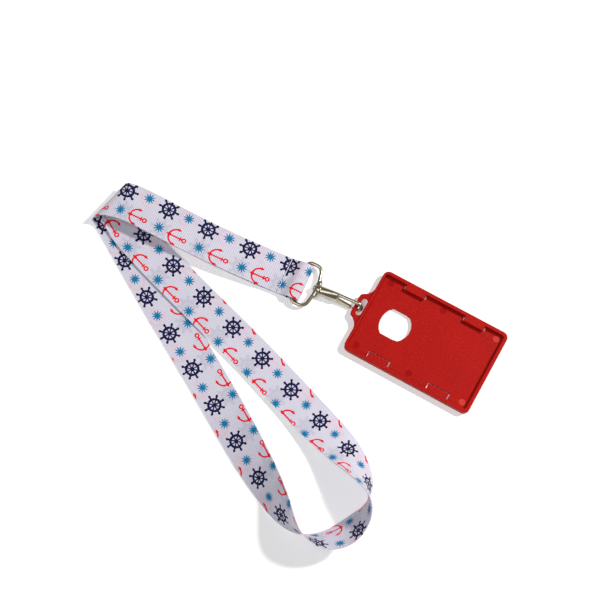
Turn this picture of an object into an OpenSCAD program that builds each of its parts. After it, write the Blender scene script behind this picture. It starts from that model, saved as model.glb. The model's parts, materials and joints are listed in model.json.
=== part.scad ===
// Lanyard badge holder: a printed ribbon folded into a neck loop, a metal snap hook sewn to it,
// and a rigid open-faced holder for one card. It lies on a table, +Z up, with the origin under
// the middle of its box. The holder's long side runs along X and its slotted end faces -X.

/* [Ribbon] */
// Width of the ribbon
ribbon_w = 25.4; // [24:0.1:25.8]
// Thickness of the ribbon
ribbon_t = 0.8; // [0.5:0.1:0.8]

/* [Stitching] */
// Number of stitches across the ribbon
stitches = 9; // [5:1:10]
// Length of one stitch
stitch_len = 1.8; // [1.2:0.1:2]
// Diameter of the thread
thread_d = 0.5; // [0.3:0.05:0.6]

/* [Strap loop] */
// Width of the loop, centre to centre of its two legs
loop_w = 29.2; // [29:0.1:30]
// Distance from the loop's bar to its far side, centre to centre
loop_len = 12; // [11.8:0.1:12.2]
// Diameter of the loop's wire
loop_wire_d = 2.6; // [2:0.1:2.8]
// Outer diameter of the collar that holds the hook
collar_d = 6.6; // [5.8:0.1:7]

/* [Snap hook] */
// Turn of the hook about its own axis at rest, from upright
jaw_tilt = 30; // [20:1:35]
// Diameter of the hook's wire
hook_wire_d = 2.5; // [2:0.1:2.5]
// Radius of the hook's bend, to the middle of the wire
bend_r = 3.1; // [3:0.1:3.2]
// Distance from the loop's bar to the middle of the bend
hook_reach = 41.1; // [41:0.1:41.2]
// Diameter of the shank at the collar
shank_d = 6.4; // [6:0.1:6.6]
// Diameter of the neck that turns in the collar
neck_d = 3; // [2.6:0.1:3.4]
// Radial clearance of the parts that turn
turn_gap = 0.05; // [0.03:0.01:0.08]

/* [Gate] */
// Thickness of the gate, across the hook
gate_t = 1.7; // [1.5:0.1:1.8]
// Diameter of the rivet that the gate turns on
rivet_d = 1.4; // [1.2:0.1:1.6]

/* [Card holder] */
// Outside length of the holder
holder_len = 91; // [90:0.5:92]
// Outside width of the holder
holder_w = 60; // [59:0.5:61]
// Height of the holder's walls
holder_h = 5.6; // [5.4:0.1:6]
// Thickness of the floor under the card
floor_t = 2.8; // [2.4:0.1:2.9]
// Thickness of the two side walls and the far wall
wall_t = 2.6; // [2.2:0.1:2.6]
// Thickness of the wall beside the tab
tab_wall_t = 1.8; // [1.6:0.1:2]
// Radius of the holder's corners
corner_r = 4; // [3:0.5:5]
// How far each card clip reaches in over the card
clip_reach = 3.6; // [3:0.1:4]
// Length of each card clip
clip_len = 14.5; // [12:0.5:16]
// How far the tab stands out from the wall
tab_out = 6.7; // [6.6:0.1:7]
// Length of the tab's slot
slot_len = 12.4; // [12:0.1:13]
// Width of the tab's slot
slot_w = 3.8; // [3.6:0.1:3.8]

/* [Hidden] */
$fn = 40;
eps = 0.01;

// The loop's bar, and the direction from the bar to the hook in plan
bar_at = [2, 56, 4];
lead = 4.5;

// The holder's lowest corner, and the middle of its width
holder_at = [48, 30.4, 0];
holder_mid = holder_w / 2;

// Each station of the ribbon: [x, y, height of the lower edge], then the direction in plan of the
// line across the ribbon towards its first edge, and that line's lift, both in degrees.
seam_fold = [
    [-13, 54.8, 0.6, 94.5, 0], [-5, 55.4, 0.6, 94.5, 0], [1, 55.9, 0.8, 94.5, 0],
    [5, 56.2, 1.4, 94.5, 0], [6.6, 56.4, 3.6, 94.5, 0], [5, 56.2, 6, 94.5, 0],
    [0, 55.8, 6.6, 94.5, 0], [-5, 55.4, 3.6, 94.5, 0], [-9, 55, 3, 94.5, 0],
];
outer_top = [
    [-18, 54, 3.2, 94, 0], [-29, 52.7, 4.6, 93, 0], [-45, 51, 6.4, 92, 0], [-65, 49.4, 8.4, 92, 0],
    [-85, 48.4, 10, 92, 0], [-105, 47.8, 11.4, 91, 0], [-119, 47, 12, 88, 0],
];
outer_roll = [
    [-129, 45, 11.4, 82, 0], [-133.8, 42.8, 8.4, 78, 0], [-134, 39.6, 4, 74, 0],
    [-129.4, 35.8, 1.2, 69, 0],
];
left_strand = [
    [-118, 28.6, 0.6, 63, 0], [-104, 20, 0.6, 60.5, 0], [-84, 8, 0.6, 60.5, 0],
    [-64, -3.8, 0.6, 60.5, 0], [-44, -15.2, 0.6, 60.5, 0], [-24, -26.8, 0.6, 60.5, 0],
    [-4, -38.8, 0.6, 60, 6], [13, -49.2, 0.6, 60, 14], [28, -58.6, 0.6, 60, 22],
];
bottom_turn = [
    [41, -66.6, 0.6, 60, 32], [51.5, -73, 0.6, 60, 42], [60.5, -78.6, 0.6, 62, 51],
    [69, -83.4, 0.6, 66, 64], [77.5, -87, 0.6, 78, 80], [86.5, -88.2, 0.6, 98, 100],
    [95.4, -86.2, 0.6, 118, 117], [103, -81, 0.6, 134, 129], [108.6, -73, 0.6, 150, 132],
    [111.4, -63.4, 0.6, 166, 123], [111.6, -54.6, 0.6, 186, 106], [109, -47.4, 0.6, 208, 86],
    [104.4, -41.6, 0.6, 224, 68], [98, -36.6, 0.6, 236, 54], [88.6, -31.6, 0.6, 244, 39],
    [77.4, -27.2, 0.6, 248, 25],
];
right_strand = [
    [65, -23.2, 0.6, 251, 15], [47, -17.4, 0.6, 252, 8], [27, -10.8, 0.6, 253, 5],
    [5, -3.8, 0.8, 253, 3], [-19, 3.4, 1, 253, 2], [-43, 10.2, 1.8, 253, 0],
    [-67, 17.2, 2, 254, 0], [-91, 24.6, 2.1, 255, 0], [-111, 31.6, 2.2, 258, 0],
];
inner_roll = [
    [-124, 38.4, 2.8, 262, 0], [-130.2, 42.4, 5.2, 264, 0], [-130, 44.6, 8.4, 265, 0],
    [-124, 46, 10.4, 268, 0],
];
inner_top = [
    [-111, 47.2, 10.4, 271, 0], [-94, 48, 9.4, 272, 0], [-74, 48.9, 7.8, 272, 0],
    [-54, 50.1, 5.8, 272, 0], [-37, 51.6, 4, 273, 0], [-24, 52.9, 2.6, 273, 0],
    [-14, 54.2, 1.8, 274, 0], [-4, 55.4, 1.8, 274.5, 0],
];
stations = concat(seam_fold, outer_top, outer_roll, left_strand, bottom_turn, right_strand,
                  inner_roll, inner_top);
rings_per_station = 3;

// A point on the smooth curve through b and c, t of the way between them
function between(a, b, c, d, t) =
    b + 0.5 * t * (c - a + t * (2 * a - 5 * b + 4 * c - d + t * (3 * (b - c) + d - a)));
function at(i) = stations[max(0, min(len(stations) - 1, i))];
ribbon_rings = [
    for (i = [0 : len(stations) - 2], k = [0 : rings_per_station - 1])
        between(at(i - 1), at(i), at(i + 1), at(i + 2), k / rings_per_station),
    at(len(stations) - 1),
];
ring_count = len(ribbon_rings);
function ring(i) = ribbon_rings[max(0, min(ring_count - 1, i))];
function unit(v) = v / norm(v);
function across(r) = [cos(r[4]) * cos(r[3]), cos(r[4]) * sin(r[3]), sin(r[4])];
function middle(r) = [r[0], r[1], r[2] + ribbon_w / 2 * abs(sin(r[4]))];
function along(i) = unit(middle(ring(i + 1)) - middle(ring(i - 1)));

// The four corners of the ribbon's section at ring i
function section(i) =
    let (c = middle(ring(i)), a = across(ring(i)), n = cross(a, along(i)),
         half = a * ribbon_w / 2 / norm(n), up = unit(n) * ribbon_t / 2)
    [c - half - up, c + half - up, c + half + up, c - half + up];

module neck_ribbon() {
    points = [for (i = [0 : ring_count - 1]) each section(i)];
    sides = [
        for (i = [0 : ring_count - 2], k = [0 : 3])
            let (a = 4 * i + k, b = 4 * i + (k + 1) % 4)
            each [[a, b, b + 4], [a, b + 4, a + 4]],
    ];
    last = 4 * (ring_count - 1);
    caps = [[3, 2, 1], [3, 1, 0], [last, last + 1, last + 2], [last, last + 2, last + 3]];
    color("lavender") polyhedron(points, concat(sides, caps));
}

// Places its children in the hook's own frame: X runs from the loop's bar to the hook's tip
module on_hook() {
    translate(bar_at) rotate([0, 0, lead]) children();
}

// Places its children in the plane of the hook's bend: +Z is the side of the long arm
module on_jaw() {
    on_hook() rotate([-jaw_tilt, 0, 0]) children();
}

// A round rod from a to b
module rod(a, b, r) {
    d = b - a;
    translate(a) rotate([0, acos(d[2] / norm(d)), atan2(d[1], d[0])]) cylinder(r = r, h = norm(d));
}

// The seam runs across the ribbon behind the bar, through its three layers
seam_back = 10.5;
seam_low = 0.1;
seam_high = 3.6;

module seam_thread() {
    r = thread_d / 2;
    pitch = (ribbon_w - 2) / stitches;
    color("white")
    translate([0, 0, -bar_at[2]]) on_hook()
        for (i = [0 : stitches - 1])
            translate([-seam_back, (i - (stitches - 1) / 2) * pitch, 0]) {
                translate([0, 0, seam_high]) rotate([90, 0, 0])
                    cylinder(r = r, h = stitch_len, center = true);
                for (side = [-1, 1]) translate([0, side * stitch_len / 2, seam_low + r])
                    cylinder(r = r, h = seam_high - seam_low - r);
            }
}

collar_from = loop_len - loop_wire_d / 2;
collar_to = collar_from + 4.4;

// The loop in plan, grown by d all round from the line along the middle of its wire
module loop_outline(d) {
    half = loop_w / 2;
    side = [[0, 0.8], [0.8, 0], [7, 0], [9.4, 1.2], [10.6, 3.4], [loop_len - 0.3, 9], [loop_len, 11]];
    offset(delta = d) polygon(concat(
        [for (p = side) [p[0], p[1] - half]],
        [for (i = [len(side) - 1 : -1 : 0]) [side[i][0], half - side[i][1]]]));
}

module strap_loop() {
    color("silver") on_hook() difference() {
        union() {
            translate([0, 0, -loop_wire_d / 2]) linear_extrude(loop_wire_d) difference() {
                loop_outline(loop_wire_d / 2);
                loop_outline(-loop_wire_d / 2);
            }
            translate([collar_from + 0.2, 0, 0]) rotate([0, 90, 0])
                cylinder(d = collar_d, h = collar_to - collar_from - 0.2);
        }
        translate([collar_from - 1, 0, 0]) rotate([0, 90, 0])
            cylinder(d = neck_d + 2 * turn_gap, h = collar_to - collar_from + 2);
    }
}

// Along the shank: where it leaves the collar, where it ends, and the gate's pivot
shank_from = collar_to + 0.1;
shank_to = 29;
pivot = [25, 0, -2.3];
nose_back = 1.6;
fork_w = gate_t + 0.3;

module snap_hook() {
    r = hook_wire_d / 2;
    color("silver") on_jaw() {
        difference() {
            union() {
                translate([collar_from - 1.6, 0, 0]) rotate([0, 90, 0]) cylinder(d = 4.8, h = 1.5);
                translate([collar_from - 0.2, 0, 0]) rotate([0, 90, 0])
                    cylinder(d = neck_d, h = shank_from - collar_from + 0.4);
                hull() {
                    translate([shank_from, 0, 0]) rotate([0, 90, 0]) cylinder(d = shank_d, h = 1);
                    translate([shank_to - 2, 0, bend_r - 0.3]) sphere(r = 1.6);
                    translate([shank_to - 2, 0, pivot[2] - 0.2]) sphere(r = 1.6);
                }
            }
            translate([21, -fork_w / 2, -6]) cube([12, fork_w, 7]);
            translate(pivot) rotate([90, 0, 0]) cylinder(d = rivet_d, h = 8, center = true);
        }
        rod([shank_to - 2, 0, bend_r], [hook_reach, 0, bend_r], r);
        translate([hook_reach, 0, 0]) rotate([90, 0, 0]) rotate([0, 0, -90])
            rotate_extrude(angle = 180) translate([bend_r, 0]) circle(r = r);
        rod([hook_reach - nose_back, 0, -bend_r], [hook_reach, 0, -bend_r], r);
        translate([hook_reach - nose_back, 0, -bend_r]) sphere(r = r);
    }
}

gate_tip = hook_reach - nose_back - hook_wire_d / 2 - 0.4;

module hook_gate() {
    lever_t = gate_t - 0.2;
    color("silver") on_jaw() difference() {
        union() {
            translate(pivot) rotate([90, 0, 0]) cylinder(d = 3, h = gate_t, center = true);
            translate([0, lever_t / 2, 0]) rotate([90, 0, 0]) linear_extrude(lever_t)
                polygon([[pivot[0], pivot[2] + 2.3], [pivot[0] + 4, pivot[2] + 2.2],
                         [gate_tip - 1, -bend_r + 1.9], [gate_tip, -bend_r + 1],
                         [gate_tip, -bend_r - 0.7], [pivot[0] + 5, -bend_r - 1],
                         [pivot[0], pivot[2] - 1.3]]);
        }
        translate(pivot) rotate([90, 0, 0])
            cylinder(d = rivet_d + 2 * turn_gap, h = gate_t + 1, center = true);
    }
}

module gate_rivet() {
    color("gray") on_jaw() translate(pivot) rotate([90, 0, 0])
        cylinder(d = rivet_d, h = 4, center = true);
}

// The gate's spring: a coil behind the gate in the shank's fork, with its leg along the fork's floor
module gate_spring() {
    color("dimgray") on_jaw() translate([pivot[0] - 2.6, 0, pivot[2]]) {
        rotate([90, 0, 0]) difference() {
            cylinder(r = 0.9, h = 1.6, center = true);
            cylinder(r = 0.5, h = 2, center = true);
        }
        rod([-0.4, 0.5, 0.7], [1.2, 0.5, 1.2], 0.2);
    }
}

// The holder's outline, drawn in by d on the side walls and the far wall
module outline(d) {
    near = d > 0 ? tab_wall_t : 0;
    r = max(1, corner_r - d);
    translate([near + r, d + r]) square([holder_len - near - d - 2 * r, holder_w - 2 * d - 2 * r]);
    for (x = [near + r, holder_len - d - r], y = [d + r, holder_w - d - r])
        translate([x, y]) circle(r = r);
    translate([near + r, d]) square([holder_len - near - d - 2 * r, holder_w - 2 * d]);
    translate([near, d + r]) square([holder_len - near - d, holder_w - 2 * d - 2 * r]);
}

clip_x = [24, 67.4];
clip_t = 1.6;
thumb_at = [22.6, 30.4];
thumb_d = 20.3;
thumb_w = 18.2;
tab_z = 3.2;
tab_t = 1.6;
tab_root_w = 32;
shoulder_r = 3;
shoulder_y = 5.8;
slot_x = -0.1 - slot_w / 2;

// Points along an arc
function arc(c, r, first, last) =
    [for (i = [0 : 8]) let (t = first + (last - first) * i / 8) c + r * [cos(t), sin(t)]];

// The tab in plan: a flat top, two round shoulders, and hollow sides that run out to the wall
module tab_outline() {
    root = tab_root_w / 2;
    shoulder = [shoulder_r - tab_out, shoulder_y];
    rise = root - shoulder_y;
    hollow_r = (pow(shoulder[0], 2) + pow(rise, 2) - pow(shoulder_r, 2))
               / (2 * (shoulder_r - shoulder[0]));
    lean = atan2(rise, hollow_r + shoulder[0]);
    side = concat([[1, root]], arc([-hollow_r, root], hollow_r, 0, -lean),
                  arc(shoulder, shoulder_r, 180 - lean, 180));
    translate([0, holder_mid]) polygon(concat(
        side, [for (i = [len(side) - 1 : -1 : 0]) [side[i][0], -side[i][1]]]));
}

module card_holder() {
    color("red") translate(holder_at) difference() {
        union() {
            linear_extrude(holder_h) difference() {
                outline(0);
                outline(wall_t);
            }
            linear_extrude(floor_t) outline(0.5);
            for (x = clip_x, side = [0, 1])
                translate([x - clip_len / 2, side == 0 ? wall_t - 1 : holder_w - wall_t - clip_reach,
                           holder_h - clip_t]) cube([clip_len, clip_reach + 1, clip_t]);
            translate([0, 0, tab_z]) linear_extrude(tab_t) tab_outline();
        }
        for (x = clip_x, side = [0, 1])
            translate([x - clip_len / 2 - 0.7,
                       side == 0 ? wall_t - 0.3 : holder_w - wall_t - clip_reach - 0.8, -1])
                cube([clip_len + 1.4, clip_reach + 1.1, floor_t + 2]);
        translate([thumb_at[0], thumb_at[1], -1]) intersection() {
            cylinder(d = thumb_d, h = floor_t + 2);
            translate([-thumb_d, -thumb_w / 2, 0]) cube([2 * thumb_d, thumb_w, floor_t + 2]);
        }
        translate([slot_x, holder_mid, 0]) {
            for (side = [-1, 1]) translate([0, side * (slot_len - slot_w) / 2, tab_z - 1])
                cylinder(d = slot_w, h = tab_t + 2);
            translate([-slot_w / 2, -(slot_len - slot_w) / 2, tab_z - 1])
                cube([slot_w, slot_len - slot_w, tab_t + 2]);
        }
    }
}

neck_ribbon();
seam_thread();
strap_loop();
snap_hook();
hook_gate();
gate_rivet();
gate_spring();
card_holder();
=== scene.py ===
"""A lanyard badge holder: printed ribbon, plated snap hook and red card holder, laid on a table."""

import json
import math

import bmesh
import bpy
from mathutils import Matrix, Vector, noise


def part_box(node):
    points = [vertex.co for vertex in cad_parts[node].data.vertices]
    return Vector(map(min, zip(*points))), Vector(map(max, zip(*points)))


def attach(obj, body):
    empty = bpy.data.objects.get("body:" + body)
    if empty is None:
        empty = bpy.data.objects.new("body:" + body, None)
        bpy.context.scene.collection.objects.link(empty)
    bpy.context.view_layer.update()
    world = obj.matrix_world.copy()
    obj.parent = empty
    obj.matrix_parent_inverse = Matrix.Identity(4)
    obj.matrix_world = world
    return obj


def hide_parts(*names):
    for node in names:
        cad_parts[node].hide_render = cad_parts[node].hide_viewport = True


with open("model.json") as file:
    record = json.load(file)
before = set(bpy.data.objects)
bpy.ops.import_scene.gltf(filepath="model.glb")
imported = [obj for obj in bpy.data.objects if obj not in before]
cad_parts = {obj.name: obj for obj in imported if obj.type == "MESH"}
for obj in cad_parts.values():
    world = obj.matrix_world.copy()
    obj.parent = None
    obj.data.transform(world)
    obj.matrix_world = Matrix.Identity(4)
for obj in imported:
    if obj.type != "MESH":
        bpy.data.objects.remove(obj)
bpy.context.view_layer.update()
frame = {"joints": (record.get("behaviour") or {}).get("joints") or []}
MM = 0.001
joints = {joint["name"]: joint for joint in frame["joints"]}


# ---------------------------------------------------------------- camera, light and floor

LOOK_AT = Vector((8, 46, 0)) * MM
CAMERA_AWAY = 1.1
CAMERA_RISE = math.radians(75)
CAMERA_TURN = math.radians(29.1)


def round_the_table(turn, rise, away):
    """The place that far from what the camera looks at; turn 0 is the camera's own side."""
    flat = Vector((math.sin(CAMERA_TURN + turn), -math.cos(CAMERA_TURN + turn), 0))
    return LOOK_AT + (flat * math.cos(rise) + Vector((0, 0, math.sin(rise)))) * away


def aim(item, place):
    """Stands a camera or a light at the place, looking at the middle of the table."""
    item.location = place
    item.rotation_euler = (LOOK_AT - place).to_track_quat("-Z", "Y").to_euler()


def make_camera():
    bpy.ops.object.camera_add()
    camera = bpy.context.object
    camera.name = "camera"
    camera.data.lens = 100.65
    camera.data.clip_end = 20
    aim(camera, round_the_table(0, CAMERA_RISE, CAMERA_AWAY))
    bpy.context.scene.camera = camera


def make_softbox(name, turn, rise, away, size, power, tint):
    bpy.ops.object.light_add(type="AREA")
    light = bpy.context.object
    light.name = name
    light.data.shape = "DISK"
    light.data.size = size
    light.data.energy = power
    light.data.color = tint
    aim(light, round_the_table(math.radians(turn), math.radians(rise), away))


# ---------------------------------------------------------------- small tools for meshes

def alone(piece):
    """Makes the piece the only one selected, so that an operator acts on nothing else."""
    bpy.ops.object.select_all(action="DESELECT")
    piece.select_set(True)
    bpy.context.view_layer.objects.active = piece


def start(kind, name, **settings):
    """Adds a primitive with nothing else selected, and opens it for shaping."""
    bpy.ops.object.select_all(action="DESELECT")
    getattr(bpy.ops.mesh, f"primitive_{kind}_add")(**settings)
    piece = bpy.context.object
    piece.name = name
    bpy.ops.object.transform_apply()
    bpy.ops.object.mode_set(mode="EDIT")
    return piece


def done():
    bpy.ops.object.mode_set(mode="OBJECT")


def pick(piece, wanted, kind="verts"):
    """Selects in edit mode just the points, edges or faces for which wanted() is true."""
    bpy.ops.mesh.select_mode(type={"verts": "VERT", "edges": "EDGE", "faces": "FACE"}[kind])
    bpy.ops.mesh.select_all(action="DESELECT")
    shape = bmesh.from_edit_mesh(piece.data)
    for part in getattr(shape, kind):
        if wanted(part):
            part.select_set(True)
    shape.select_flush_mode()
    bmesh.update_edit_mesh(piece.data)


def apply(piece, kind, **settings):
    """Adds one modifier with its settings and applies it."""
    alone(piece)
    modifier = piece.modifiers.new(kind.lower(), kind)
    for name, value in settings.items():
        setattr(modifier, name, value)
    bpy.ops.object.modifier_apply(modifier=modifier.name)


SLIVER = 0.006  # in millimetres, the thinnest face that a cut may leave


def cut(piece, tool, operation="DIFFERENCE"):
    """Cuts the tool's shape from the piece, or adds it, and uses the tool up. What the cut leaves
    that is smaller than SLIVER is then merged away."""
    apply(piece, "BOOLEAN", object=tool, operation=operation, solver="EXACT")
    bpy.data.objects.remove(tool)
    bpy.ops.object.mode_set(mode="EDIT")
    bpy.ops.mesh.select_all(action="SELECT")
    bpy.ops.mesh.remove_doubles(threshold=SLIVER)
    bpy.ops.mesh.dissolve_degenerate(threshold=SLIVER)
    done()


def join(pieces, name):
    """Makes one piece of several that touch or overlap."""
    bpy.ops.object.select_all(action="DESELECT")
    for piece in pieces:
        piece.select_set(True)
    bpy.context.view_layer.objects.active = pieces[0]
    bpy.ops.object.join()
    pieces[0].name = name
    return pieces[0]


def turn_and_place(piece, matrix):
    """Moves the piece's mesh by the matrix and leaves its object at the origin."""
    alone(piece)
    piece.matrix_world = matrix
    bpy.ops.object.transform_apply(location=True, rotation=True, scale=True)


def smooth(piece, angle):
    alone(piece)
    bpy.ops.object.shade_smooth_by_angle(angle=math.radians(angle))


# ---------------------------------------------------------------- small tools for materials

def colour(code):
    """The linear colour of an sRGB hex value."""
    parts = [int(code[i : i + 2], 16) / 255 for i in (1, 3, 5)]
    linear = [p / 12.92 if p <= 0.04045 else ((p + 0.055) / 1.055) ** 2.4 for p in parts]
    return (*linear, 1)


def add(tree, kind, inputs, out=0, **settings):
    """Adds a node, sets it and its inputs, which are values or sockets, and gives one output."""
    made = tree.nodes.new("ShaderNode" + kind)
    for name, value in settings.items():
        setattr(made, name, value)
    for place, value in inputs.items():
        if isinstance(value, bpy.types.NodeSocket):
            tree.links.new(value, made.inputs[place])
        else:
            made.inputs[place].default_value = value
    return made.outputs[out]


def new_material(name):
    """An empty material with its shader, and the shader's node tree."""
    material = bpy.data.materials.new(name)
    material.use_nodes = True
    return material, material.node_tree, material.node_tree.nodes["Principled BSDF"]


# ---------------------------------------------------------------- ribbon

RIBBON_W = 25.4
RIBBON_T = 0.5
RINGS_PER_STATION = 8
COLUMNS = 14

# Each station of the ribbon: [x, y, height of the lower edge], then the direction in plan of the
# line across the ribbon towards its first edge, and that line's lift, in millimetres and degrees.
SEAM_FOLD = [
    (-13, 54.8, 0.6, 94.5, 0), (-5, 55.4, 0.6, 94.5, 0), (1, 55.9, 0.8, 94.5, 0),
    (5, 56.2, 1.4, 94.5, 0), (6.6, 56.4, 3.6, 94.5, 0), (5, 56.2, 6, 94.5, 0),
    (0, 55.8, 6.6, 94.5, 0), (-5, 55.4, 3.6, 94.5, 0), (-9, 55, 3, 94.5, 0),
]
OUTER_TOP = [
    (-18, 54, 3.2, 94, 0), (-29, 52.7, 4.6, 93, 0), (-45, 51, 6.4, 92, 0), (-65, 49.4, 8.4, 92, 0),
    (-85, 48.4, 10, 92, 0), (-105, 47.8, 11.4, 91, 0), (-119, 47, 12, 88, 0),
]
OUTER_ROLL = [
    (-129, 45, 11.4, 82, 0), (-133.8, 42.8, 8.4, 78, 0), (-134, 39.6, 4, 74, 0),
    (-129.4, 35.8, 1.2, 69, 0),
]
LEFT_STRAND = [
    (-118, 28.6, 0.6, 63, 0), (-104, 20, 0.6, 60.5, 0), (-84, 8, 0.6, 60.5, 0),
    (-64, -3.8, 0.6, 60.5, 0), (-44, -15.2, 0.6, 60.5, 0), (-24, -26.8, 0.6, 60.5, 0),
    (-4, -38.8, 0.6, 60, 6), (13, -49.2, 0.6, 60, 14), (28, -58.6, 0.6, 60, 22),
]
BOTTOM_TURN = [
    (41, -66.6, 0.6, 60, 32), (51.5, -73, 0.6, 60, 42), (60.5, -78.6, 0.6, 62, 51),
    (69, -83.4, 0.6, 66, 64), (77.5, -87, 0.6, 78, 80), (86.5, -88.2, 0.6, 98, 100),
    (95.4, -86.2, 0.6, 118, 117), (103, -81, 0.6, 134, 129), (108.6, -73, 0.6, 150, 132),
    (111.4, -63.4, 0.6, 166, 123), (111.6, -54.6, 0.6, 186, 106), (109, -47.4, 0.6, 208, 86),
    (104.4, -41.6, 0.6, 224, 68), (98, -36.6, 0.6, 236, 54), (88.6, -31.6, 0.6, 244, 39),
    (77.4, -27.2, 0.6, 248, 25),
]
RIGHT_STRAND = [
    (65, -23.2, 0.6, 251, 15), (47, -17.4, 0.6, 252, 8), (27, -10.8, 0.6, 253, 5),
    (5, -3.8, 0.8, 253, 3), (-19, 3.4, 1, 253, 2), (-43, 10.2, 1.8, 253, 0),
    (-67, 17.2, 2, 254, 0), (-91, 24.6, 2.1, 255, 0), (-111, 31.6, 2.2, 258, 0),
]
INNER_ROLL = [
    (-124, 38.4, 2.8, 262, 0), (-130.2, 42.4, 5.2, 264, 0), (-130, 44.6, 8.4, 265, 0),
    (-124, 46, 10.4, 268, 0),
]
INNER_TOP = [
    (-111, 47.2, 10.4, 271, 0), (-94, 48, 9.4, 272, 0), (-74, 48.9, 7.8, 272, 0),
    (-54, 50.1, 5.8, 272, 0), (-37, 51.6, 4, 273, 0), (-24, 52.9, 2.6, 273, 0),
    (-14, 54.2, 1.8, 274, 0), (-4, 55.4, 1.8, 274.5, 0),
]

# The print repeats every PRINT_PITCH. Each face has its own run of print: where along the ribbon
# a whole number of repeats has gone by, and how far the print has crept towards the second edge.
PRINT_PITCH = 28.05
UPPER_FACE_RUN = [(0, -2.3, 1.9), (66.5, 0, 1.9), (97.2, 1, 1.9), (155.7, 3, 1.9), (436, 13, 1.5),
                  (463, 14, 1.5), (880, 28.9, 1.9)]
LOWER_FACE_RUN = [(0, -7.4, 1.6), (210.5, 0, 1.6), (268.6, 2, 0.3), (325, 4, -1.2),
                  (381, 6, -2.8), (493.2, 10, -1), (544.1, 12, -3), (599.9, 14, -2), (656.1, 16, -0.4),
                  (715.4, 18, 0), (880, 23.9, 0)]


def between(a, b, c, d, t):
    """A point on the smooth curve through b and c, t of the way between them."""
    return b + 0.5 * t * (c - a + t * (2 * a - 5 * b + 4 * c - d + t * (3 * (b - c) + d - a)))


def ribbon_rings():
    """The ribbon's middle, and the half line across it, at every ring, in millimetres."""
    stations = [Vector(s) for s in (SEAM_FOLD + OUTER_TOP + OUTER_ROLL + LEFT_STRAND + BOTTOM_TURN
                                    + RIGHT_STRAND + INNER_ROLL + INNER_TOP)]
    ends = [stations[0], *stations, stations[-1]]
    rings = [between(*ends[i : i + 4], k / RINGS_PER_STATION)
             for i in range(len(stations) - 1) for k in range(RINGS_PER_STATION)]
    rings.append(stations[-1])
    middles, across = [], []
    for x, y, foot, bearing, lift in rings:
        bearing, lift = math.radians(bearing), math.radians(lift)
        middles.append(Vector((x, y, foot + RIBBON_W / 2 * abs(math.sin(lift)))))
        across.append(Vector((math.cos(lift) * math.cos(bearing),
                              math.cos(lift) * math.sin(bearing), math.sin(lift))))
    return middles, across


def on_run(run, length):
    """How many repeats of print, and how much creep, a face has at that length of ribbon."""
    for (a, first, creep_a), (b, second, creep_b) in zip(run, run[1:]):
        if length <= b:
            share = (length - a) / (b - a)
            return first + (second - first) * share, creep_a + (creep_b - creep_a) * share


SEAM_AT = 10.5  # how far behind the loop's bar the seam runs
SEAM_X = -8.5
PUCKER = 0.35
FLOAT = 0.25  # how much the ribbon wanders up and down by itself
PRINT_END = 880  # in millimetres, where both runs of print stop


def make_ribbon():
    """One swept sheet. Its two UV maps give each face's print: length and width in millimetres."""
    middles, across = ribbon_rings()
    shape = bmesh.new()
    upper = shape.loops.layers.uv.new("upper face")
    lower = shape.loops.layers.uv.new("lower face")
    grid, marks, gone = [], [], 0
    for i, (middle, line) in enumerate(zip(middles, across)):
        gone += (middle - middles[max(i - 1, 0)]).length
        along = (middles[min(i + 1, len(middles) - 1)] - middles[max(i - 1, 0)]).normalized()
        square = line.cross(along).length
        row, mark = [], []
        for k in range(COLUMNS + 1):
            side = (k / COLUMNS - 0.5) * RIBBON_W
            point = middle + line * (side / square)
            near_seam = math.exp(-((point.x - SEAM_X) / 1.3) ** 2) if point.y > 40 else 0
            if point.z > 2.4:
                point.z -= PUCKER * near_seam
            point.z += FLOAT * noise.noise(point / 17) * min(1, max(0, (point.z - 1) / 2))
            row.append(shape.verts.new(point * MM))
            length = gone + side * line.dot(along) / square
            width = side + RIBBON_W / 2
            mark.append((length, width))
        grid.append(row)
        marks.append(mark)
    for i in range(len(grid) - 1):
        for k in range(COLUMNS):
            corners = [(i, k), (i, k + 1), (i + 1, k + 1), (i + 1, k)]
            face = shape.faces.new([grid[a][b] for a, b in corners])
            for loop, (a, b) in zip(face.loops, corners):
                length, width = marks[a][b]
                repeats, creep = on_run(UPPER_FACE_RUN, min(max(length, 0), PRINT_END))
                loop[upper].uv = (repeats * PRINT_PITCH, RIBBON_W - width + creep)
                repeats, creep = on_run(LOWER_FACE_RUN, min(max(length, 0), PRINT_END))
                loop[lower].uv = (repeats * PRINT_PITCH, width + creep)
    mesh = bpy.data.meshes.new("ribbon")
    shape.to_mesh(mesh)
    shape.free()
    ribbon = bpy.data.objects.new("ribbon", mesh)
    bpy.context.scene.collection.objects.link(ribbon)
    pattern = nautical_print()
    ribbon.data.materials.append(printed_grosgrain("upper", "lower", pattern))
    ribbon.data.materials.append(printed_grosgrain("lower", "upper", pattern))
    apply(ribbon, "SOLIDIFY", thickness=RIBBON_T * MM, offset=0, material_offset=1)
    smooth(ribbon, 60)
    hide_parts("neck_ribbon")
    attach(ribbon, "ribbon")
    return ribbon


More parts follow.
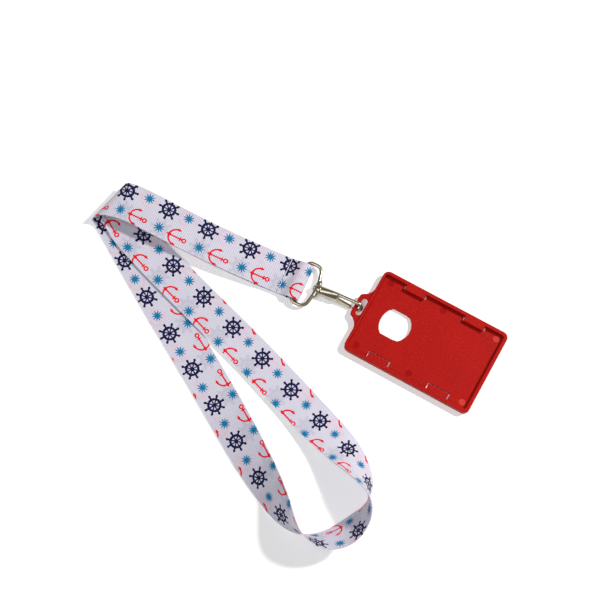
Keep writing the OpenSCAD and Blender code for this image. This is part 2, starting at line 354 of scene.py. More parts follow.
# The motifs of the print, in millimetres. A wheel stands at the start of each repeat, with a star
# across from it, then a star and an anchor half a repeat later.
WHEEL_ROW = 7.4
STAR_ROW = 6.8
STAR_ROWS_APART = 14.3
ANCHOR_ROW = 21.7
ROWS_REPEAT = 27
CROWN_AT = 22.2
MOTIF_STEPS = [
    ("cell", "WRAP", "Along", PRINT_PITCH, 0),
    ("x", "WRAP", "Along", PRINT_PITCH / 2, -PRINT_PITCH / 2),
    # ship's wheel: a rim, a hub, eight spokes and a knob on each
    ("wheel y", "SUBTRACT", "Across", WHEEL_ROW),
    ("x squared", "MULTIPLY", "x", "x"),
    ("wheel squared", "MULTIPLY_ADD", "wheel y", "wheel y", "x squared"),
    ("wheel radius", "SQRT", "wheel squared"),
    ("wheel angle", "ARCTAN2", "wheel y", "x"),
    ("spoke angle", "WRAP", "wheel angle", math.pi / 8, -math.pi / 8),
    ("spoke sine", "SINE", "spoke angle"),
    ("spoke side", "MULTIPLY", "spoke sine", "wheel radius"),
    ("spoke gap", "ABSOLUTE", "spoke side"),
    ("rim side", "SUBTRACT", "wheel radius", 3.9),
    ("rim gap", "ABSOLUTE", "rim side"),
    ("rim", "SUBTRACT", "rim gap", 0.8),
    ("hub", "SUBTRACT", "wheel radius", 1.45),
    ("past rim", "GREATER_THAN", "wheel radius", 3.9),
    ("spoke half", "MULTIPLY_ADD", "past rim", 0.2, 0.44),
    ("spoke edge", "SUBTRACT", "spoke gap", "spoke half"),
    ("spoke end", "SUBTRACT", "wheel radius", 6.6),
    ("spoke", "MAXIMUM", "spoke edge", "spoke end"),
    ("knob x", "SUBTRACT", "wheel radius", 6.35),
    ("knob x squared", "MULTIPLY", "knob x", "knob x"),
    ("knob squared", "MULTIPLY_ADD", "spoke gap", "spoke gap", "knob x squared"),
    ("knob radius", "SQRT", "knob squared"),
    ("knob", "SUBTRACT", "knob radius", 0.86),
    # star: a solid middle with ten sharp rays
    ("far row", "GREATER_THAN", "Across", (STAR_ROW + ANCHOR_ROW) / 2),
    ("near star x", "SUBTRACT", "cell", PRINT_PITCH / 2),
    ("star shift", "SUBTRACT", "x", "near star x"),
    ("star x", "MULTIPLY_ADD", "far row", "star shift", "near star x"),
    ("star line", "MULTIPLY_ADD", "far row", STAR_ROWS_APART, STAR_ROW),
    ("star y", "SUBTRACT", "Across", "star line"),
    ("star x squared", "MULTIPLY", "star x", "star x"),
    ("star squared", "MULTIPLY_ADD", "star y", "star y", "star x squared"),
    ("star radius", "SQRT", "star squared"),
    ("star angle", "ARCTAN2", "star y", "star x"),
    ("ray turn", "MULTIPLY", "star angle", 5 / math.pi),
    ("ray gap", "PINGPONG", "ray turn", 0.5),
    ("ray share", "MULTIPLY_ADD", "ray gap", -2, 1),
    ("ray", "POWER", "ray share", 1.2),
    ("star edge", "MULTIPLY_ADD", "ray", 2.4, 1.5),
    ("star", "SUBTRACT", "star radius", "star edge"),
    # anchor: measured back from the point of its crown, which leads
    ("p", "SUBTRACT", CROWN_AT, "cell"),
    ("row", "WRAP", "Across", ANCHOR_ROW + ROWS_REPEAT / 2, ANCHOR_ROW - ROWS_REPEAT / 2),
    ("off row", "SUBTRACT", "row", ANCHOR_ROW),
    ("q", "ABSOLUTE", "off row"),
    ("q squared", "MULTIPLY", "q", "q"),
    ("arm p", "SUBTRACT", "p", 6.6),
    ("arm squared", "MULTIPLY_ADD", "arm p", "arm p", "q squared"),
    ("arm radius", "SQRT", "arm squared"),
    ("arm side", "SUBTRACT", "arm radius", 5.1),
    ("arm gap", "ABSOLUTE", "arm side"),
    ("arm edge", "SUBTRACT", "arm gap", 0.55),
    ("arm end", "SUBTRACT", "p", 7.2),
    ("arm", "MAXIMUM", "arm edge", "arm end"),
    ("fluke p", "SUBTRACT", "p", 6.3),
    ("fluke along", "ABSOLUTE", "fluke p"),
    ("fluke q", "SUBTRACT", "q", 5.15),
    ("fluke across", "ABSOLUTE", "fluke q"),
    ("fluke sum", "MULTIPLY_ADD", "fluke along", 0.5, "fluke across"),
    ("fluke", "SUBTRACT", "fluke sum", 1.0),
    ("crown p", "SUBTRACT", "p", 1.7),
    ("crown along", "ABSOLUTE", "crown p"),
    ("crown sum", "MULTIPLY_ADD", "crown along", 0.65, "q"),
    ("crown", "SUBTRACT", "crown sum", 1.35),
    ("shank p", "SUBTRACT", "p", 5.9),
    ("shank along", "ABSOLUTE", "shank p"),
    ("shank end", "SUBTRACT", "shank along", 4.7),
    ("shank edge", "SUBTRACT", "q", 0.52),
    ("shank", "MAXIMUM", "shank end", "shank edge"),
    ("stock p", "SUBTRACT", "p", 9.4),
    ("stock along", "ABSOLUTE", "stock p"),
    ("stock edge", "SUBTRACT", "stock along", 0.42),
    ("stock end", "SUBTRACT", "q", 1.4),
    ("stock", "MAXIMUM", "stock edge", "stock end"),
    ("eye p", "SUBTRACT", "p", 11.9),
    ("eye squared", "MULTIPLY_ADD", "eye p", "eye p", "q squared"),
    ("eye radius", "SQRT", "eye squared"),
    ("eye side", "SUBTRACT", "eye radius", 1.2),
    ("eye gap", "ABSOLUTE", "eye side"),
    ("eye", "SUBTRACT", "eye gap", 0.48),
]
INKS = {
    "Navy": ["rim", "hub", "spoke", "knob"],
    "Blue": ["star"],
    "Red": ["arm", "fluke", "crown", "shank", "stock", "eye"],
}


def nautical_print():
    """A group that says, for each ink, how far a point of the ribbon is from it: 0 at its edge."""
    group = bpy.data.node_groups.new("nautical print", "ShaderNodeTree")
    for name in ("Along", "Across"):
        group.interface.new_socket(name, in_out="INPUT", socket_type="NodeSocketFloat")
    for name in INKS:
        group.interface.new_socket(name, in_out="OUTPUT", socket_type="NodeSocketFloat")
    given = group.nodes.new("NodeGroupInput")
    result = group.nodes.new("NodeGroupOutput")
    known = {name: given.outputs[name] for name in ("Along", "Across")}
    for name, operation, *terms in MOTIF_STEPS:
        inputs = {i: known.get(term, term) for i, term in enumerate(terms)}
        known[name] = add(group, "Math", inputs, operation=operation)
    for ink, shapes in INKS.items():
        nearest = known[shapes[0]]
        for shape in shapes[1:]:
            nearest = add(group, "Math", {0: nearest, 1: known[shape]}, operation="MINIMUM")
        group.links.new(nearest, result.inputs[ink])
    return group


RIB_PITCH = 1.3  # the weave's cross ribs: the real ones are 0.8 apart, too fine to show
THREAD_PITCH = 0.45  # the threads along the ribbon, also drawn coarser than they are


def printed_grosgrain(face, behind, pattern):
    """Polyester grosgrain, woven with cross ribs and heat printed on both faces: matt and softly
    ribbed, with painted shade darkening the rib grooves, the ink broken a little by the ribs and the
    other face's print showing faintly."""
    material, tree, shader = new_material(f"printed grosgrain {face}")
    inks = {}
    for name in (face, behind):
        cloth = add(tree, "UVMap", {}, uv_map=f"{name} face")
        split = tree.nodes.new("ShaderNodeSeparateXYZ")
        tree.links.new(cloth, split.inputs[0])
        group = tree.nodes.new("ShaderNodeGroup")
        group.node_tree = pattern
        tree.links.new(split.outputs[0], group.inputs["Along"])
        tree.links.new(split.outputs[1], group.inputs["Across"])
        inks[name] = group.outputs
        if name == face:
            along, across = split.outputs[0], split.outputs[1]
    rib_turn = add(tree, "Math", {0: along, 1: 2 * math.pi / RIB_PITCH}, operation="MULTIPLY")
    rib_wave = add(tree, "Math", {0: rib_turn}, operation="SINE")
    thread_turn = add(tree, "Math", {0: across, 1: 2 * math.pi / THREAD_PITCH}, operation="MULTIPLY")
    thread_wave = add(tree, "Math", {0: thread_turn}, operation="SINE")
    weave = add(tree, "Math", {0: thread_wave, 1: 0.25, 2: rib_wave}, operation="MULTIPLY_ADD")
    place = add(tree, "TexCoord", {}, out="Object")
    drift = add(tree, "TexNoise", {"Vector": place, "Scale": 60, "Detail": 3})
    tone = add(tree, "Mix", {0: drift, 6: colour("#dad7e2"), 7: colour("#ccc9da")}, out=2,
               data_type="RGBA")
    # painted shade: the grooves between the ribs are drawn darker in the colour, where shade falls
    painted_groove_shade = add(tree, "MapRange", {0: rib_wave, 1: -1, 2: 0.4, 3: 0.34, 4: 0})
    tone = add(tree, "Mix", {0: painted_groove_shade, 6: tone, 7: colour("#8d8aa0")}, out=2, data_type="RGBA")
    for ink, code, share in (("Navy", "#5b6484", 0.2), ("Blue", "#7fa0bb", 0.1),
                             ("Red", "#ee8c9c", 0.2)):
        shown = add(tree, "MapRange", {0: inks[behind][ink], 1: 0.9, 2: -0.5, 3: 0, 4: share},
                    interpolation_type="SMOOTHSTEP")
        tone = add(tree, "Mix", {0: shown, 6: tone, 7: colour(code)}, out=2, data_type="RGBA")
    for ink, code in (("Navy", "#08083f"), ("Blue", "#00719f"), ("Red", "#de0f20")):
        ragged = add(tree, "Math", {0: rib_wave, 1: 0.07, 2: inks[face][ink]},
                     operation="MULTIPLY_ADD")
        inked = add(tree, "Math", {0: ragged, 1: 0}, operation="LESS_THAN")
        tone = add(tree, "Mix", {0: inked, 6: tone, 7: colour(code)}, out=2, data_type="RGBA")
    tree.links.new(tone, shader.inputs["Base Color"])
    shader.inputs["Roughness"].default_value = 0.8
    shader.inputs["Specular IOR Level"].default_value = 0.2
    shader.inputs["Sheen Weight"].default_value = 0.06
    shader.inputs["Sheen Roughness"].default_value = 0.5
    bump = add(tree, "Bump", {"Height": weave, "Strength": 0.6, "Distance": 0.08 * MM})
    tree.links.new(bump, shader.inputs["Normal"])
    return material


# ---------------------------------------------------------------- seam

STITCHES = 9
STITCH_LEN = 1.8
THREAD_D = 0.5


def make_stitches(on_hook, thread):
    """A row of stitches across the ribbon: each is an arch of thread that dips in at both ends."""
    step = (RIBBON_W - 2) / STITCHES
    stitches = []
    for i in range(STITCHES):
        stitch = start("circle", "stitch", vertices=10, radius=THREAD_D / 2, fill_type="NGON",
                       location=(0, -STITCH_LEN / 2, 0), rotation=(0, 0, 0))
        bpy.ops.mesh.spin(steps=8, angle=math.pi, center=(0, 0, 0), axis=(1, 0, 0))
        bpy.ops.mesh.select_all(action="SELECT")
        bpy.ops.mesh.normals_make_consistent(inside=False)
        bpy.ops.transform.resize(value=(1, 1, 0.6))
        bpy.ops.transform.translate(value=(-SEAM_AT, (i - (STITCHES - 1) / 2) * step, -0.95))
        done()
        stitches.append(stitch)
    seam = join(stitches, "seam_stitches")
    turn_and_place(seam, on_hook @ Matrix.Scale(MM, 4))
    seam.data.materials.append(thread)
    smooth(seam, 60)
    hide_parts("seam_thread")
    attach(seam, "ribbon")


def sewing_thread():
    """Spun polyester thread: white, matt and twisted."""
    material, tree, shader = new_material("sewing thread")
    place = add(tree, "TexCoord", {}, out="Object")
    twist = add(tree, "TexNoise", {"Vector": place, "Scale": 3500, "Detail": 2})
    tone = add(tree, "Mix", {0: twist, 6: colour("#c9c7d3"), 7: colour("#f3f1f6")}, out=2,
               data_type="RGBA")
    tree.links.new(tone, shader.inputs["Base Color"])
    shader.inputs["Roughness"].default_value = 0.75
    bump = add(tree, "Bump", {"Height": twist, "Strength": 0.5, "Distance": 0.05 * MM})
    tree.links.new(bump, shader.inputs["Normal"])
    return material


# ---------------------------------------------------------------- snap hook and its loop

LOOP_HALF_W = 14.6
LOOP_WIRE_R = 1.3
COLLAR_R = 3.3
COLLAR_FROM = 10.7
COLLAR_TO = 15.1
NECK_R = 1.5
SHANK_FROM = 15.2
SHANK_R = 3.2
SHANK_TO = 27
HOOK_WIRE_R = 1.25
BEND_R = 3.1
BEND_AT = 41.1
NOSE_BACK = 1.6
PIVOT = (25, 0, -2.3)
RIVET_R = 0.7
FORK_W = 2
GATE_T = 1.5
SPRING_WIRE_R = 0.2
SPRING_R = 0.68
SPRING_TURNS = 3
SPRING_LEN = 1.3
SPRING_BEHIND = 2.6  # how far the spring stands behind the gate's pivot
CAST_GRAIN = 0.2  # how finely the cast shapes are blended


def bent_wire(name, begin, heading, radius, moves):
    """A round wire in the XY plane. Each move is a straight run's length, or an (angle, radius)
    bend, with a turn to the left above 0."""
    heading = math.radians(heading)
    wire = start("circle", name, vertices=20, radius=radius, fill_type="NGON",
                 rotation=(0, math.pi / 2, heading), location=(*begin, 0))
    at = Vector((*begin, 0))
    for move in moves:
        ahead = Vector((math.cos(heading), math.sin(heading), 0))
        if isinstance(move, tuple):
            turn, bend = math.radians(move[0]), move[1]
            left = Vector((-ahead.y, ahead.x, 0)) * math.copysign(bend, turn)
            centre = at + left
            steps = max(3, round(abs(move[0]) / 10))
            bpy.ops.mesh.spin(steps=steps, angle=-turn, center=centre, axis=(0, 0, 1))
            at = centre + Matrix.Rotation(turn, 3, "Z") @ -left
            heading += turn
        else:
            bpy.ops.mesh.extrude_region_move(TRANSFORM_OT_translate={"value": ahead * move})
            at = at + ahead * move
    done()
    return wire


def cast(parts, name, smoothing):
    """Blends overlapping parts into one smooth casting."""
    casting = join(parts, name)
    apply(casting, "REMESH", mode="VOXEL", voxel_size=CAST_GRAIN)
    apply(casting, "SMOOTH", factor=0.5, iterations=smoothing)
    return casting


def finish_metal(piece, matrix, body, metal, node, angle=50):
    turn_and_place(piece, matrix @ Matrix.Scale(MM, 4))
    piece.data.materials.append(metal)
    smooth(piece, angle)
    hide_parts(node)
    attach(piece, body)


def tube_along(name, stops):
    """A turned shape along X: each stop is (x, radius)."""
    first, *rest = stops
    tube = start("circle", name, vertices=32, radius=first[1], fill_type="NGON",
                 location=(first[0], 0, 0), rotation=(0, math.pi / 2, 0))
    x, radius = first
    for next_x, next_radius in rest:
        bpy.ops.mesh.extrude_region_move(TRANSFORM_OT_translate={"value": (next_x - x, 0, 0)})
        scale = next_radius / radius
        bpy.ops.transform.resize(value=(1, scale, scale), center_override=(next_x, 0, 0))
        x, radius = next_x, next_radius
    bpy.ops.mesh.select_all(action="SELECT")
    bpy.ops.mesh.normals_make_consistent(inside=False)
    done()
    return tube


def make_loop(on_hook, metal):
    """The cast loop: a straight bar for the ribbon, two round shoulders and a collar."""
    side_run = [(90, 3), 3, (79, 4.9), 5.13, (11, 10)]
    wire = bent_wire("loop wire", (0, 0), -90, LOOP_WIRE_R,
                     [LOOP_HALF_W - 3, *side_run, 7.38, *reversed(side_run), LOOP_HALF_W - 3])
    collar = tube_along("collar", [(11, 1.6), (11.6, 2.4), (12.6, 2.9), (13.8, 3.2),
                                   (COLLAR_TO - 0.2, COLLAR_R), (COLLAR_TO, COLLAR_R - 0.1)])
    web = start("uv_sphere", "web", segments=32, ring_count=16, radius=1, location=(13, 0, 0),
                scale=(2.1, 6.6, 2))
    done()
    loop = cast([wire, collar, web], "strap_loop_casting", smoothing=20)
    cut(loop, tube_along("bore", [(COLLAR_FROM - 2, NECK_R + 0.08), (COLLAR_TO + 1, NECK_R + 0.08)]))
    finish_metal(loop, on_hook, "loop", metal, "strap_loop")


def make_hook(on_jaw, metal):
    """The hook: a head and neck that turn in the collar, a tapered forked shank, a long arm and
    the bend, all one casting."""
    shank = start("cylinder", "shank", vertices=32, radius=SHANK_R, depth=1,
                  location=(SHANK_FROM + 0.5, 0, 0), rotation=(0, math.pi / 2, 0))
    done()
    parts = [shank]
    for back, height, radius in ((0, BEND_R - 0.3, 1.65), (1.2, 0.1, 2.6), (0, PIVOT[2] - 0.2, 1.65)):
        ball = start("uv_sphere", "shank end", segments=24, ring_count=12, radius=radius,
                     location=(SHANK_TO - back, 0, height))
        done()
        parts.append(ball)
    shank = join(parts, "shank")
    bpy.ops.object.mode_set(mode="EDIT")
    bpy.ops.mesh.select_all(action="SELECT")
    bpy.ops.mesh.convex_hull()
    done()
    shank = cast([shank], "shank", smoothing=30)
    nose = BEND_AT - NOSE_BACK
    arm = bent_wire("arm", (SHANK_TO - 3, BEND_R), 0, HOOK_WIRE_R,
                    [BEND_AT - SHANK_TO + 3, (-180, BEND_R), NOSE_BACK])
    upright(arm)
    tip = start("uv_sphere", "nose", segments=24, ring_count=12, radius=HOOK_WIRE_R,
                location=(nose, 0, -BEND_R))
    done()
    flare = tube_along("flare", [(SHANK_FROM, SHANK_R), (SHANK_FROM + 3, SHANK_R - 0.1),
                                 (SHANK_FROM + 6, SHANK_R - 0.3), (SHANK_FROM + 9, SHANK_R - 0.6)])
    hook = cast([shank, arm, tip, flare], "snap_hook_casting", smoothing=8)
    slot = start("cube", "fork", size=1, location=(27, 0, -2.5), scale=(12, FORK_W, 7))
    done()
    cut(hook, slot)
    neck = tube_along("neck", [(9.9, 1.1), (10, 1.5), (10.25, 1.75), (10.5, 1.8), (10.6, 1.75),
                               (10.61, NECK_R), (SHANK_FROM + 0.6, NECK_R)])
    cut(hook, neck, "UNION")
    finish_metal(hook, on_jaw, "hook", metal, "snap_hook")


def upright(piece):
    """Turns a piece made in the XY plane so that its Y is up."""
    alone(piece)
    piece.matrix_world = Matrix.Rotation(math.pi / 2, 4, "X")
    bpy.ops.object.transform_apply()


def make_gate(on_jaw, metal):
    """The gate: a slim lever with a round end, and a boss for its rivet."""
    tip_x = BEND_AT - NOSE_BACK - HOOK_WIRE_R - 0.5
    pivot_x, _, pivot_z = PIVOT
    lever = plate("gate lever", [(pivot_x, pivot_z + 2.3), (pivot_x + 4, pivot_z + 2.2),
                                 (tip_x - 1, -BEND_R + 1.9), (tip_x, -BEND_R + 1),
                                 (tip_x, -BEND_R - 0.4), (tip_x - 0.6, -BEND_R - 0.9),
                                 (pivot_x + 5, -BEND_R - 1), (pivot_x, pivot_z - 1.3)],
                  -GATE_T / 2, GATE_T / 2)
    upright(lever)
    apply(lever, "BEVEL", width=0.3, segments=3, limit_method="ANGLE", angle_limit=math.radians(50))
    boss = start("cylinder", "gate boss", vertices=32, radius=1.5, depth=GATE_T + 0.2, location=PIVOT,
                 rotation=(math.pi / 2, 0, 0))
    done()
    apply(boss, "BEVEL", width=0.15, segments=2, limit_method="ANGLE", angle_limit=math.radians(50))
    cut(lever, boss, "UNION")
    bore = start("cylinder", "rivet bore", vertices=24, radius=RIVET_R + 0.05, depth=4,
                 location=PIVOT, rotation=(math.pi / 2, 0, 0))
    done()
    cut(lever, bore)
    lever.name = "gate_lever"
    finish_metal(lever, on_jaw, "gate", metal, "hook_gate", angle=35)


def make_rivet(on_jaw, metal):
    """The gate's rivet, with its two ends peened into low domes."""
    rivet = start("cylinder", "gate_rivet_pin", vertices=24, radius=RIVET_R, depth=4,
                  location=PIVOT, rotation=(math.pi / 2, 0, 0))
    pick(rivet, lambda f: abs(f.normal.y) > 0.9, "faces")
    bpy.ops.mesh.bevel(offset=0.25, segments=3, affect="EDGES")
    done()
    finish_metal(rivet, on_jaw, "hook", metal, "gate_rivet")


def make_spring(on_jaw, steel):
    """The gate's spring: a coil in the fork behind the gate, and a leg that reaches the gate."""
    spring = start("circle", "gate_spring_coil", vertices=10, radius=SPRING_WIRE_R,
                   fill_type="NOTHING", location=(SPRING_R, 0, 0), rotation=(math.pi / 2, 0, 0))
    done()
    apply(spring, "SCREW", angle=2 * math.pi * SPRING_TURNS, screw_offset=SPRING_LEN, steps=72,
          render_steps=72, axis="Z", use_merge_vertices=False)
    alone(spring)
    bpy.ops.object.mode_set(mode="EDIT")
    bpy.ops.mesh.select_all(action="SELECT")
    bpy.ops.transform.translate(value=(0, 0, -0.6))
    pick(spring, lambda v: v.is_boundary and v.co.z > 0.3)
    bpy.ops.mesh.extrude_region_move(TRANSFORM_OT_translate={"value": (0, 1.1, 0)})
    bpy.ops.mesh.select_all(action="DESELECT")
    bpy.ops.mesh.select_non_manifold()
    bpy.ops.mesh.fill_holes(sides=0)
    bpy.ops.mesh.select_all(action="SELECT")
    bpy.ops.mesh.normals_make_consistent(inside=False)
    done()
    upright_in_fork = (Matrix.Translation((PIVOT[0] - SPRING_BEHIND, 0, PIVOT[2]))
                       @ Matrix.Rotation(math.pi / 2, 4, "X"))
    alone(spring)
    spring.matrix_world = upright_in_fork
    bpy.ops.object.transform_apply()
    finish_metal(spring, on_jaw, "hook", steel, "gate_spring")


def nickel_plate():
    """Bright nickel plated over a zinc die casting and tumbled: a warm grey mirror, softened by
    scuffs, drawn coarser than real ones, and the slight waviness of the casting under it."""
    material, tree, shader = new_material("nickel plate")
    place = add(tree, "TexCoord", {}, out="Object")
    wave = add(tree, "TexNoise", {"Vector": place, "Scale": 350, "Detail": 2})
    scuff = add(tree, "TexNoise", {"Vector": place, "Scale": 2600, "Detail": 4, "Roughness": 0.65})
    tone = add(tree, "Mix", {0: wave, 6: colour("#a8a08d"), 7: colour("#bab29f")}, out=2,
               data_type="RGBA")
    tree.links.new(tone, shader.inputs["Base Color"])
    shader.inputs["Metallic"].default_value = 1
    rough = add(tree, "MapRange", {0: scuff, 1: 0.3, 2: 0.75, 3: 0.2, 4: 0.36})
    tree.links.new(rough, shader.inputs["Roughness"])
    height = add(tree, "Math", {0: scuff, 1: 0.15, 2: wave}, operation="MULTIPLY_ADD")
    bump = add(tree, "Bump", {"Height": height, "Strength": 0.22, "Distance": 0.12 * MM})
    tree.links.new(bump, shader.inputs["Normal"])
    return material


def spring_steel():
    """Drawn spring wire, oiled and blued slightly: dark grey with fine lines."""
    material, tree, shader = new_material("spring steel")
    place = add(tree, "TexCoord", {}, out="Object")
    lines = add(tree, "TexNoise", {"Vector": place, "Scale": 4000, "Detail": 3})
    tone = add(tree, "Mix", {0: lines, 6: colour("#7b7a78"), 7: colour("#a09d98")}, out=2,
               data_type="RGBA")
    tree.links.new(tone, shader.inputs["Base Color"])
    shader.inputs["Metallic"].default_value = 1
    rough = add(tree, "MapRange", {0: lines, 1: 0.3, 2: 0.7, 3: 0.25, 4: 0.45})
    tree.links.new(rough, shader.inputs["Roughness"])
    return material


# ---------------------------------------------------------------- card holder

HOLDER = (91, 60, 5.6)
FLOOR_T = 2.8
WALL_T = 2.6
TAB_WALL_T = 1.8
CORNER_R = 4
CLIP_X = (24, 67.4)
CLIP_LEN = 14.5
CLIP_REACH = 3.6
CLIP_T = 1.6
THUMB_AT = (22.6, 30.4)
TAB_OUT = 6.7
TAB_ROOT_W = 32
SHOULDER_R = 3
SHOULDER_Y = 5.8
TAB_Z = 3.25
TAB_T = 1.5
SLOT_LEN = 12.5
SLOT_W = 3.9
CLIP_END_GAP = 0.7
PIN_D = 4.4
PIN_DEPTH = 0.12
PALE_FROM = 70  # the ejector pins' marks beyond this place along the holder are painted pale, as a highlight from the key light
PIN_PLACES = [(x, y) for x in (7, 45.6, 84.6) for y in (6.2, 54)]


def block(name, low, high, corner=0):
    """A box from its low corner to its high corner, with its upright edges rounded."""
    low, high = Vector(low), Vector(high)
    box = start("cube", name, size=1, location=(low + high) / 2, scale=high - low)
    if corner:
        pick(box, lambda e: abs(e.verts[0].co.z - e.verts[1].co.z) > 0.1, "edges")
        bpy.ops.mesh.bevel(offset=corner, segments=max(4, round(corner * 2)), affect="EDGES")
    done()
    return box


def plate(name, outline, low, high):
    """A flat plate of that outline, a list of (x, y) points in order, from low to high."""
    shape = bmesh.new()
    shape.faces.new([shape.verts.new((x, y, low)) for x, y in outline])
    mesh = bpy.data.meshes.new(name)
    shape.to_mesh(mesh)
    shape.free()
    made = bpy.data.objects.new(name, mesh)
    bpy.context.scene.collection.objects.link(made)
    alone(made)
    bpy.ops.object.mode_set(mode="EDIT")
    bpy.ops.mesh.select_all(action="SELECT")
    bpy.ops.mesh.extrude_region_move(TRANSFORM_OT_translate={"value": (0, 0, high - low)})
    bpy.ops.mesh.select_all(action="SELECT")
    bpy.ops.mesh.normals_make_consistent(inside=False)
    done()
    return made


def arc(centre, radius, first, last, steps):
    """Points round an arc, by angle in degrees."""
    turns = [math.radians(first + (last - first) * i / steps) for i in range(steps + 1)]
    return [(centre[0] + radius * math.cos(t), centre[1] + radius * math.sin(t)) for t in turns]


def tab_outline():
    """The tab: a flat top, two round shoulders, and hollow sides that run out to the wall."""
    root = TAB_ROOT_W / 2
    shoulder = (SHOULDER_R - TAB_OUT, SHOULDER_Y)
    rise = root - SHOULDER_Y
    hollow_r = ((shoulder[0] ** 2 + rise ** 2 - SHOULDER_R ** 2)
                / (2 * (SHOULDER_R - shoulder[0])))
    lean = math.degrees(math.atan2(rise, hollow_r + shoulder[0]))
    side = [(1, root), *arc((-hollow_r, root), hollow_r, 0, -lean, 10),
            *arc(shoulder, SHOULDER_R, 180 - lean, 180, 8)]
    middle = HOLDER[1] / 2
    return ([(x, middle + y) for x, y in side] + [(x, middle - y) for x, y in reversed(side)])


def thumb_outline():
    """The thumb hole: two flats, a shallow arc on the tab's side and a fuller one across."""
    x, y = THUMB_AT
    return [*arc((x + 3.8, y), 14, 180 + 32, 180 - 32, 10),
            *arc((x - 5.4, y + 8.1), 1.5, 150, 90, 3)[1:],
            *arc((x + 3.2, y + 8.1), 1.5, 90, 60, 2),
            *arc((x - 1.2, y), 11.8, 50, -50, 12),
            *arc((x + 3.2, y - 8.1), 1.5, -60, -90, 2),
            *arc((x - 5.4, y - 8.1), 1.5, -90, -150, 3)[:-1]]


def round_edges(piece, at_place, width):
    """Rounds off the sharp outward edges whose two ends are both at the place."""
    alone(piece)
    bpy.ops.object.mode_set(mode="EDIT")
    pick(piece, lambda e: e.is_manifold and all(at_place(v) for v in e.verts)
         and e.calc_face_angle_signed() > math.radians(40), "edges")
    bpy.ops.mesh.bevel(offset=width, segments=3, affect="EDGES", clamp_overlap=False)
    done()


def make_holder(plastic, pin_mark, painted_highlight_mark):
    """The open-faced holder: a tray with four clips over the card, a thumb hole and a slotted tab."""
    tray = block("holder_moulding", (0, 0, 0), HOLDER, CORNER_R)
    pocket = block("pocket", (TAB_WALL_T, WALL_T, FLOOR_T),
                   (HOLDER[0] - WALL_T, HOLDER[1] - WALL_T, HOLDER[2] + 1), 1.4)
    cut(tray, pocket)
    for x in CLIP_X:
        for near in (True, False):
            inner = WALL_T + CLIP_REACH if near else HOLDER[1] - WALL_T - CLIP_REACH
            outer = WALL_T - 1 if near else HOLDER[1] - WALL_T + 1
            low_y, high_y = min(inner, outer), max(inner, outer)
            clip = block("clip", (x - CLIP_LEN / 2, low_y, HOLDER[2] - CLIP_T),
                         (x + CLIP_LEN / 2, high_y, HOLDER[2]))
            cut(tray, clip, "UNION")
            hole_low = WALL_T if near else inner + 0.9
            hole_high = inner + 1.2 if near else HOLDER[1] - WALL_T
            cut(tray, block("clip hole", (x - CLIP_LEN / 2 - CLIP_END_GAP, hole_low, -1),
                            (x + CLIP_LEN / 2 + CLIP_END_GAP, hole_high, FLOOR_T + 1)))
    cut(tray, plate("thumb hole", thumb_outline(), -1, FLOOR_T + 1))
    tab = plate("tab", tab_outline(), TAB_Z, TAB_Z + TAB_T)
    round_edges(tab, lambda v: v.co.z > TAB_Z + TAB_T - 0.01, 0.35)
    cut(tray, tab, "UNION")
    half = (SLOT_LEN - SLOT_W) / 2
    slot_x, middle = -0.1 - SLOT_W / 2, HOLDER[1] / 2
    slot = [*arc((slot_x, middle + half), SLOT_W / 2, 0, 180, 10),
            *arc((slot_x, middle - half), SLOT_W / 2, 180, 360, 10)]
    cut(tray, plate("slot", slot, TAB_Z - 1, TAB_Z + TAB_T + 1))
    for x, y in PIN_PLACES:
        mark = start("cylinder", "pin mark", vertices=24, radius=PIN_D / 2, depth=1,
                     location=(x, y, FLOOR_T + 0.5 - PIN_DEPTH))
        done()
        cut(tray, mark)
    alone(tray)
    bpy.ops.object.mode_set(mode="EDIT")
    bpy.ops.mesh.select_all(action="SELECT")
    bpy.ops.mesh.remove_doubles(threshold=0.01)
    bpy.ops.mesh.dissolve_limited(angle_limit=math.radians(1))
    done()
    round_edges(tray, lambda v: v.co.z > HOLDER[2] - 0.01, 0.5)
    round_edges(tray, lambda v: abs(v.co.z - FLOOR_T) < 0.01 and math.hypot(
        v.co.x - THUMB_AT[0], v.co.y - THUMB_AT[1]) < 13, 0.3)
    holder_low, holder_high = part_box("card_holder")
    corner = Vector((holder_high.x - HOLDER[0] * MM, holder_low.y, holder_low.z))
    turn_and_place(tray, Matrix.Translation(corner) @ Matrix.Scale(MM, 4))
    tray.data.materials.append(plastic)
    tray.data.materials.append(pin_mark)
    tray.data.materials.append(painted_highlight_mark)
    for face in tray.data.polygons:
        spot = face.center - corner
        if abs(spot.z - (FLOOR_T - PIN_DEPTH) * MM) < 0.02 * MM and any(
                math.hypot(spot.x - x * MM, spot.y - y * MM) < PIN_D / 2 * MM
                for x, y in PIN_PLACES):
            face.material_index = 2 if spot.x > PALE_FROM * MM else 1
    smooth(tray, 35)
    apply(tray, "WEIGHTED_NORMAL", keep_sharp=True)
    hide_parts("card_holder")
    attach(tray, "holder")


MOULD_GRAIN = 0.9  # the real grain is about 0.1, too fine to show


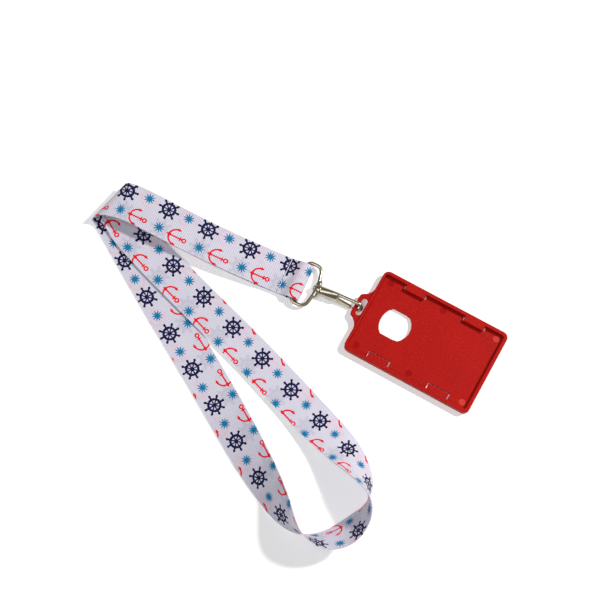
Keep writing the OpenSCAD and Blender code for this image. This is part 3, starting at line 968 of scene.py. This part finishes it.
def moulded_red(name, code, deep_code, roughness, grain):
    """Red ABS from a spark-eroded mould: an even grain that scatters the light, with small glints
    painted into its colour as lighter specks.
    A lower grain gives the smoother discs that the ejector pins leave."""
    material, tree, shader = new_material(name)
    place = add(tree, "TexCoord", {}, out="Object")
    speck = add(tree, "TexNoise", {"Vector": place, "Scale": 1 / (MOULD_GRAIN * MM), "Detail": 3,
                                   "Roughness": 0.7})
    cloud = add(tree, "TexNoise", {"Vector": place, "Scale": 35, "Detail": 2})
    tone = add(tree, "Mix", {0: cloud, 6: colour(code), 7: colour(deep_code)}, out=2,
               data_type="RGBA")
    # painted highlight: lighter specks in the colour stand in for glints off the grain
    painted_glint = add(tree, "MapRange", {0: speck, 1: 0.54, 2: 0.7, 3: 0, 4: 0.4 * grain})
    tone = add(tree, "Mix", {0: painted_glint, 6: tone, 7: colour("#d8402c")}, out=2, data_type="RGBA")
    tree.links.new(tone, shader.inputs["Base Color"])
    shader.inputs["IOR"].default_value = 1.53
    shader.inputs["Specular IOR Level"].default_value = 0.12
    rough = add(tree, "MapRange", {0: speck, 1: 0.3, 2: 0.7, 3: roughness - 0.06, 4: roughness + 0.06})
    tree.links.new(rough, shader.inputs["Roughness"])
    bump = add(tree, "Bump", {"Height": speck, "Strength": 0.45 * grain, "Distance": 0.1 * MM})
    tree.links.new(bump, shader.inputs["Normal"])
    return material


# ---------------------------------------------------------------- the whole scene

def make_floor():
    """White acrylic, lit a little from below, so that shadows on it stay pale."""
    bpy.ops.object.select_all(action="DESELECT")
    bpy.ops.mesh.primitive_plane_add(size=6, location=(0, 0, -0.00005))
    floor = bpy.context.object
    floor.name = "floor"
    material, _, shader = new_material("light table")
    shader.inputs["Base Color"].default_value = colour("#f6f6f6")
    shader.inputs["Roughness"].default_value = 0.9
    shader.inputs["Emission Color"].default_value = colour("#ffffff")
    shader.inputs["Emission Strength"].default_value = 0.22
    floor.data.materials.append(material)


def make_world():
    world = bpy.data.worlds.new("studio")
    world.use_nodes = True
    backdrop = world.node_tree.nodes["Background"]
    backdrop.inputs["Color"].default_value = colour("#f4f2f0")
    backdrop.inputs["Strength"].default_value = 0.2
    bpy.context.scene.world = world
    bpy.context.scene.view_settings.view_transform = "Standard"


make_camera()
make_world()
make_floor()
make_softbox("key", 108, 46, 1.6, 0.2, 23.5, (1, 0.98, 0.95))
make_softbox("fill", -60, 65, 1.8, 1.4, 13, (0.96, 0.98, 1))

bar = Vector(joints["loop_swing"]["pos_m"])
reach = Vector(joints["hook_swivel"]["axis"])
hook_turn = Matrix.Rotation(math.atan2(reach.y, reach.x), 4, "Z")
gate_axis = Vector(joints["gate_open"]["axis"])
jaw_turn = Matrix.Rotation(math.asin(gate_axis.z), 4, "X")
ON_HOOK = Matrix.Translation(bar) @ hook_turn
ON_JAW = ON_HOOK @ jaw_turn

make_ribbon()
make_stitches(ON_HOOK, sewing_thread())
nickel = nickel_plate()
make_loop(ON_HOOK, nickel)
make_hook(ON_JAW, nickel)
make_gate(ON_JAW, nickel)
make_rivet(ON_JAW, nickel)
make_spring(ON_JAW, spring_steel())
make_holder(moulded_red("moulded red ABS", "#ad0500", "#980400", 0.5, 1),
            moulded_red("pin-marked red ABS", "#960100", "#8a0100", 0.4, 0.3),
            # painted highlight: the pin marks nearest the key light get a paler red
            moulded_red("stress-whitened red ABS", "#c63a34", "#bc342f", 0.4, 0.3))
